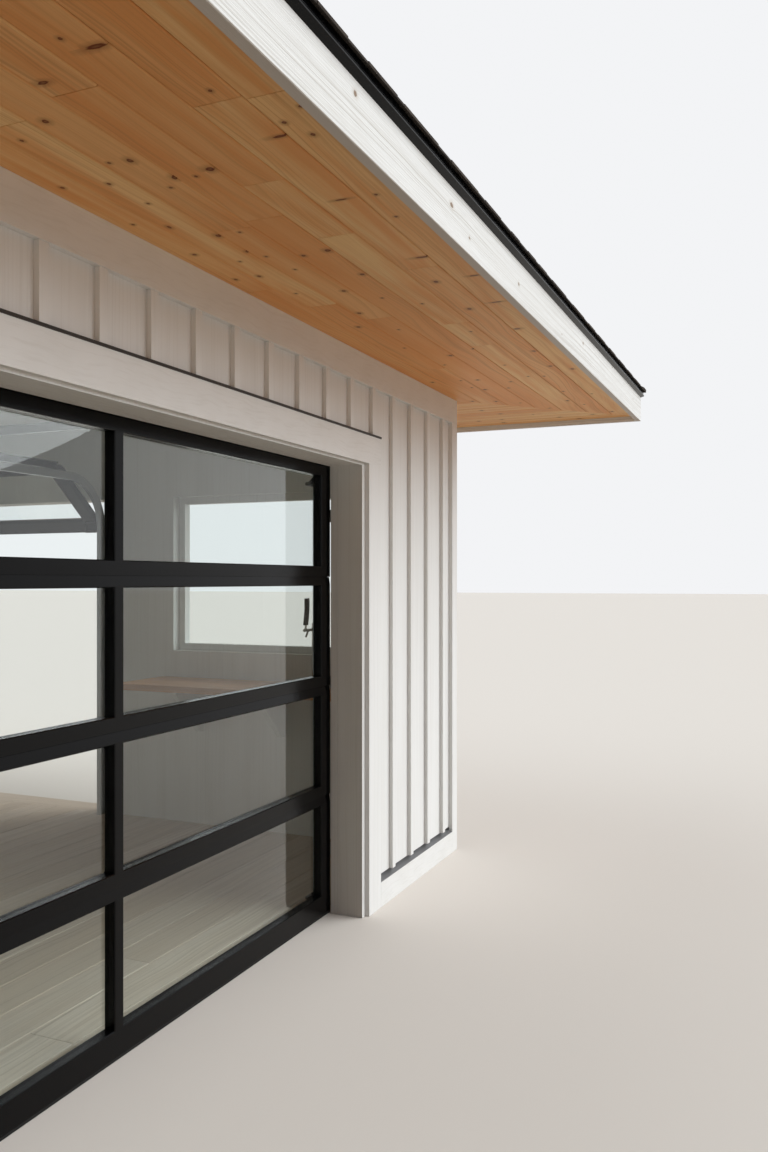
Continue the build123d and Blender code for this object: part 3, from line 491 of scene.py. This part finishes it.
SMALL_KNOT_PLACES = (
    (-0.060, -2.904), (-0.370, -3.298), (0.382, -2.941), (0.280, -3.170), (0.315, -3.066), (0.497, -2.800),
    (0.677, -3.057), (0.911, -2.913), (0.902, -3.018), (1.056, -3.041), (1.302, -2.911), (-0.083, -3.454),
    (0.056, -3.600), (0.577, -3.554), (0.748, -3.542), (0.124, -3.015), (1.480, -3.180), (1.610, -3.290),
    (1.930, -3.060), (2.080, -3.330), (2.240, -2.960), (2.380, -3.240), (2.640, -3.010), (2.760, -3.280),
)
SMALL_KNOT = (0.0050, 0.0042)
FRONT_KNOTS = LARGE_KNOTS + tuple(place + SMALL_KNOT for place in SMALL_KNOT_PLACES)
# Scattered knots take over on boards that end to the left of PLACED_FROM, and to the right of
# SCATTERED_FROM on boards that reach past PLACED_TO.
PLACED_FROM, PLACED_TO = -0.320, 3.0
SCATTERED_FROM = 2.9


def front_knots(source, origin, length, width):
    """The placed knots of a board over the door, and scattered ones to the right of them."""
    knots = [(x - origin.x, y - origin.y, half_long, half_wide) for x, y, half_long, half_wide in FRONT_KNOTS
             if origin.x < x < origin.x + length and origin.y < y < origin.y + width]
    if origin.x + length > PLACED_TO:
        knots += [knot for knot in scattered_knots(source, length, width)
                  if knot[0] + origin.x > SCATTERED_FROM]
    return knots


low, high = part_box("soffit_front")
soffit_back_z, soffit_depth = high.z, high.z - low.z
outer_x, outer_y = high.x, -low.y
wall_x, wall_y = -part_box("soffit_left")[1].x, -high.y


def lay_soffit(name, along, inward):
    """Rows of boards from the fascia to the wall. The last row is cut to the width that is left."""
    half_outer, half_inner = (outer_x, wall_x) if along.x else (outer_y, wall_y)
    edge, inner_edge = (outer_y, wall_y) if along.x else (outer_x, wall_x)
    lean = (half_outer - half_inner) / (edge - inner_edge)
    rows = round((edge - inner_edge) / SOFFIT_PITCH)
    boards = Slabs(f"soffit_boards_{name}", seed=len(name) * 7)
    for row in range(rows):
        place = edge - row * SOFFIT_PITCH
        width = SOFFIT_PITCH if row < rows - 1 else place - inner_edge
        half = half_outer - lean * (edge - place)
        cuts = split(boards.random, 2 * half, *SOFFIT_LENGTHS)
        if name == "front":
            left_run = split(boards.random, FRONT_BUTTS[row][0] + half, *LEFT_RUN_LENGTHS)[:-1]
            cuts = left_run + [butt + half for butt in FRONT_BUTTS[row]] + [2 * half]
        for start, stop in zip(cuts, cuts[1:]):
            leans = (lean if start == 0 else 0, -lean if stop == cuts[-1] else 0)
            origin = along * (start - half + JOINT_GAP) - inward * (place - JOINT_GAP)
            origin.z = soffit_back_z
            length = stop - start - 2 * JOINT_GAP
            knots = scattered_knots(boards.random, length, width)
            if name == "front" and stop - half > PLACED_FROM:
                knots = front_knots(boards.random, origin, length, width)
            boards.board(origin, along, inward, -Z, length, width - 2 * JOINT_GAP, soffit_depth,
                         easing=0.0025, leans=leans, knots=knots, cell=0.04, tone_range=(0.15, 0.8))
    boards.finish(soffit_pine, "pine", f"soffit_{name}")


for name, along, inward in SIDES:
    lay_soffit(name, along, inward)

# Fascias: one board along each eave, the side ones let in between the others, up to the roof's slope
for name, along, inward in SIDES:
    low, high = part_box(f"fascia_{name}")
    thickness = min(high.x - low.x, high.y - low.y)
    height = high.z - low.z - thickness * ROOF_SLOPE
    half, inner_face = (outer_x + thickness, outer_y) if along.x else (outer_y, outer_x)
    boards = Slabs(f"fascia_board_{name}", seed=3 * len(name))
    boards.board(Z * low.z - along * half - inward * inner_face, along, Z, -inward, 2 * half, height,
                 thickness, easing=0.002, knots=scattered_knots(boards.random, 2 * half, height), cell=0.05)
    boards.finish(white_fascia, "white_boards", f"fascia_{name}")

# Floor boards across the room, cut back behind the foot of the door, and a sill in the side doorway
FLOOR_PITCH = 0.1905
FLOOR_GAP = 0.004
FLOOR_LENGTHS = (1.8, 4.2)
FLOOR_EASING = 0.003
DOOR_CLEARANCE = 0.01
SIDE_SILL = (-0.312, 2.126)
low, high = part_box("floor")
door_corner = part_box("door_section_1")[1]
room_x, room_y = -low.x, high.y
notch_x, notch_y = door_corner.x + DOOR_CLEARANCE, door_corner.y + DOOR_CLEARANCE
floor_depth = high.z - low.z
boards = Slabs("floor_boards", seed=11)
for row in range(math.ceil(2 * room_y / FLOOR_PITCH)):
    start_y = -room_y + row * FLOOR_PITCH
    end_y = start_y + min(FLOOR_PITCH, room_y - start_y)
    parts = [(-room_x, room_x, start_y)]
    if start_y < notch_y:
        parts = [(-room_x, -notch_x, start_y), (-notch_x, notch_x, notch_y), (notch_x, room_x, start_y)]
    for part_start, part_end, part_y in parts:
        cuts = split(boards.random, part_end - part_start, *FLOOR_LENGTHS)
        for start, stop in zip(cuts, cuts[1:]):
            boards.board(Vector((part_start + start + JOINT_GAP, part_y, low.z)), X, Y, Z,
                         stop - start - 2 * JOINT_GAP, end_y - part_y - FLOOR_GAP, floor_depth, FLOOR_EASING)
boards.board(Vector((room_x, SIDE_SILL[0], low.z)), Y, -X, Z, SIDE_SILL[1] - SIDE_SILL[0],
             room_x - high.x, floor_depth, FLOOR_EASING)
boards.finish(deck_wood, "floor_boards", "floor")

# Counter top of three staves
STAVES = 3
low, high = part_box("counter")
length, stave = high.y - low.y, (high.x - low.x) / STAVES
boards = Slabs("counter_staves", seed=23)
for row in range(STAVES):
    boards.board(Vector((low.x + row * stave, low.y, low.z)), Y, X, Z, length, stave, high.z - low.z,
                 easing=0.0008, knots=scattered_knots(boards.random, length, stave, spacing=0.9))
boards.finish(counter_wood, "counter_wood", "counter")

# Roof: courses of laminated shingles, thick tabs between thin ones, inside the depth of the CAD slab.
# Tabs have a height at the foot and at the head, and go by whether they are thick.
SLAB_DEPTH = 0.010
EXPOSURE = 0.132
HEAD_LAP = 0.030
TAB_HEIGHTS = {True: (0.0085, 0.0045), False: (0.0065, 0.0030)}
TAB_WIDTHS = {True: (0.10, 0.26), False: (0.05, 0.14)}
TAB_SETBACKS = {True: (0.0, 0.001), False: (0.001, 0.0025)}
TAB_TONES = {True: (0.4, 1.0), False: (0.0, 0.35)}
TAB_FOOT = 0.0045
FIRST_TAB_OFFSET = 0.1

low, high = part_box("roof_front")
reach_x, reach_y, edge_z = high.x, -low.y, low.z


def lay_slope(name, along, inward):
    """Courses of shingles up one slope of the roof, cut off along its hips."""
    half, edge = (reach_x, reach_y) if along.x else (reach_y, reach_x)
    courses = Slabs(f"shingles_{name}", seed=5 * len(name) + 1)

    def corner(place, distance, height):
        """A point over the slab's underside, from its place along the eave and its distance in from it."""
        limit = half - distance
        point = along * max(-limit, min(limit, place)) - inward * (edge - distance)
        point.z = edge_z + ROOF_SLOPE * distance + height
        return point

    for course in range(math.ceil(reach_y / EXPOSURE)):
        foot = course * EXPOSURE
        head = min(foot + EXPOSURE + HEAD_LAP, reach_y)
        underside = TAB_FOOT if course else 0.0
        place = foot - half - courses.random.uniform(0, FIRST_TAB_OFFSET)
        thick = True
        while place < half - foot:
            after = place + courses.random.uniform(*TAB_WIDTHS[thick])
            front = foot + courses.random.uniform(*TAB_SETBACKS[thick])
            foot_height, head_height = TAB_HEIGHTS[thick]
            courses.block([corner(place, front, underside), corner(after, front, underside),
                           corner(after, head, 0), corner(place, head, 0)],
                          [corner(place, front, foot_height), corner(after, front, foot_height),
                           corner(after, head, head_height), corner(place, head, head_height)],
                          TAB_TONES[thick])
            place = after
            thick = not thick
    courses.finish(shingle, "shingles", f"roof_{name}")


for name, along, inward in SIDES:
    lay_slope(name, along, inward)

# Cap shingles up the hips and along the ridge. Their feet and heads have a lower and an upper height
# over the slab; the heads dip under the next cap.
CAP_HALF = 0.125
CAP_STEP = 0.137
CAP_FOOT = (0.002, 0.0075)
CAP_HEAD = (-0.003, 0.0010)


def roof_point(x, y, height):
    """A point over the slab's underside, kept inside the roof's edge."""
    x = max(-reach_x, min(reach_x, x))
    y = max(-reach_y, min(reach_y, y))
    distance = min(reach_x - abs(x), reach_y - abs(y))
    return Vector((x, y, edge_z + ROOF_SLOPE * distance + height))


ridge_half = reach_x - reach_y
hips = [(Vector((side_x * reach_x, side_y * reach_y)), Vector((side_x * ridge_half, 0)))
        for side_x in (-1, 1) for side_y in (-1, 1)]
caps = Slabs("shingle_caps", seed=31)
for start, stop in hips + [(Vector((-ridge_half, 0)), Vector((ridge_half, 0)))]:
    direction = (stop - start).normalized()
    sideways = Vector((-direction.y, direction.x))
    length = (stop - start).length
    for step in range(math.ceil(length / CAP_STEP)):
        near = start + direction * (step * CAP_STEP)
        far = start + direction * min((step + 1) * CAP_STEP + HEAD_LAP, length)
        for side in (-1, 1):
            wing = sideways * side * CAP_HALF
            lower, upper = [[roof_point(*place, SLAB_DEPTH + height) for place, height in
                             ((near, foot), (near + wing, foot), (far + wing, head), (far, head))]
                            for foot, head in zip(CAP_FOOT, CAP_HEAD)]
            caps.block(lower, upper)
caps.finish(shingle, "shingles", "roof_caps")


# Materials on the CAD nodes that stay
CARRIED_OVER = (
    (white_upright, "front_wall_left front_wall_right front_wall_header left_wall right_wall back_wall "
                    "battens_front battens_back battens_left battens_right corner_boards door_lining"),
    (white_casing, "door_casing"),
    (white_window_casing, "window_casings window_frames"),
    (white_level, "frieze_boards skirting_boards"),
    (inside_white, "ceiling counter_brackets"),
    (black_aluminium, "door_section_1 door_section_2 door_section_3 door_section_4 side_door_sections"),
    (glass, "door_glass side_door_glass window_glass"),
    (dark_metal, "drip_edge"),
    (flashing_metal, "head_flashings"),
    (grey_metal, "base_flashing"),
    (galvanised, "door_tracks track_brackets"),
    (hinge_metal, "door_hinges door_rollers"),
    (chrome, "tap_column"),
    (plastic, "tap_handle"),
    (rubber, "door_seals"),
)
for material, names in CARRIED_OVER:
    for name in names.split():
        nodes[name].data.materials.clear()
        nodes[name].data.materials.append(material)

# Sawn boards with eased edges. The faces of a CAD mesh share no corners, so these are joined first.
EASED = ("battens_front battens_back battens_left battens_right corner_boards door_casing "
         "window_casings window_frames frieze_boards skirting_boards")
EASED_EDGE = 0.0015
EASED_ANGLE = math.radians(40)
for name in EASED.split():
    nodes[name].modifiers.new("joined_corners", "WELD")
    eased = nodes[name].modifiers.new("eased_edges", "BEVEL")
    eased.width = EASED_EDGE
    eased.segments = 2
    eased.limit_method = "ANGLE"
    eased.angle_limit = EASED_ANGLE


# Stage, light and camera

FLOOR_REACH = 120
FLOOR_DROP = 0.0005
CAMERA_REACH = 500
FLOOR_SEEN = tone(214, 208, 201)
FLOOR_BOUNCED = tone(154, 140, 126)

# The world lights at a level that is tilted towards the right, the front and the sky
LIGHT_LEVEL = 0.18
LIGHT_TILT = (0.155, -0.06, 0.12)
SEEN_LEVEL = 0.92
WORLD_COLOUR = tone(252, 253, 255)
LAMP_COLOUR = (0.96, 0.985, 1.0)


def stage_floor():
    """A pale floor for the camera, glass and metal, over a browner one that colours the light it sends up."""
    finish = Finish("studio_floor", Roughness=0.9)
    finish.set("Base Color", finish.mix(finish.light_path("Is Diffuse Ray"), FLOOR_SEEN, FLOOR_BOUNCED))
    mesh = bpy.data.meshes.new("floor_plane")
    corners = [(x * FLOOR_REACH, y * FLOOR_REACH, 0) for x, y in ((-1, -1), (1, -1), (1, 1), (-1, 1))]
    mesh.from_pydata(corners, [], [(0, 1, 2, 3)])
    mesh.materials.append(finish.material)
    floor = bpy.data.objects.new("studio_floor", mesh)
    floor.location.z = -FLOOR_DROP
    collection.objects.link(floor)


def studio_world():
    """Soft light from all round, and an even pale backdrop for the camera, glass and metal."""
    world = bpy.data.worlds.new("studio")
    world.use_nodes = True
    shading = Shading(world.node_tree)
    direction = shading.add("TexCoord", {}, output="Generated")
    tilt = shading.add("VectorMath", {0: direction, 1: LIGHT_TILT}, output="Value", operation="DOT_PRODUCT")
    level = shading.math("ADD", tilt, LIGHT_LEVEL)
    for ray in ("Is Glossy Ray", "Is Camera Ray", "Is Transmission Ray"):
        level = shading.between(shading.light_path(ray), level, SEEN_LEVEL)
    background = shading.tree.nodes["Background"]
    background.inputs["Color"].default_value = WORLD_COLOUR
    shading.tree.links.new(level, background.inputs["Strength"])
    bpy.context.scene.world = world


def sun(name, strength, azimuth, elevation, softness):
    """A soft lamp from afar. azimuth is from the front towards the right, in degrees."""
    data = bpy.data.lights.new(name, "SUN")
    data.energy = strength * math.pi
    data.color = LAMP_COLOUR
    data.angle = math.radians(softness)
    lamp = bpy.data.objects.new(name, data)
    turn, rise = math.radians(azimuth), math.radians(elevation)
    towards = Vector((math.sin(turn) * math.cos(rise), -math.cos(turn) * math.cos(rise), math.sin(rise)))
    lamp.rotation_euler = towards.to_track_quat("Z", "Y").to_euler()
    lamp.visible_glossy = False
    lamp.visible_camera = False
    collection.objects.link(lamp)


def level_camera(place, heading, lens, shift_up):
    """A camera that looks level. heading is from +y towards +x, in degrees."""
    data = bpy.data.cameras.new("camera")
    data.lens = lens
    data.shift_y = shift_up
    data.clip_end = CAMERA_REACH
    camera = bpy.data.objects.new("camera", data)
    camera.location = place
    camera.rotation_euler = (math.radians(90), 0, -math.radians(heading))
    collection.objects.link(camera)
    bpy.context.scene.camera = camera


stage_floor()
studio_world()
sun("key", strength=1.1, azimuth=30, elevation=36, softness=66)
sun("fill", strength=0.45, azimuth=205, elevation=40, softness=80)
level_camera(place=(-1.865, -4.633, 1.582), heading=66.63, lens=30.44, shift_up=0.0040)
bpy.context.scene.view_settings.view_transform = "Standard"
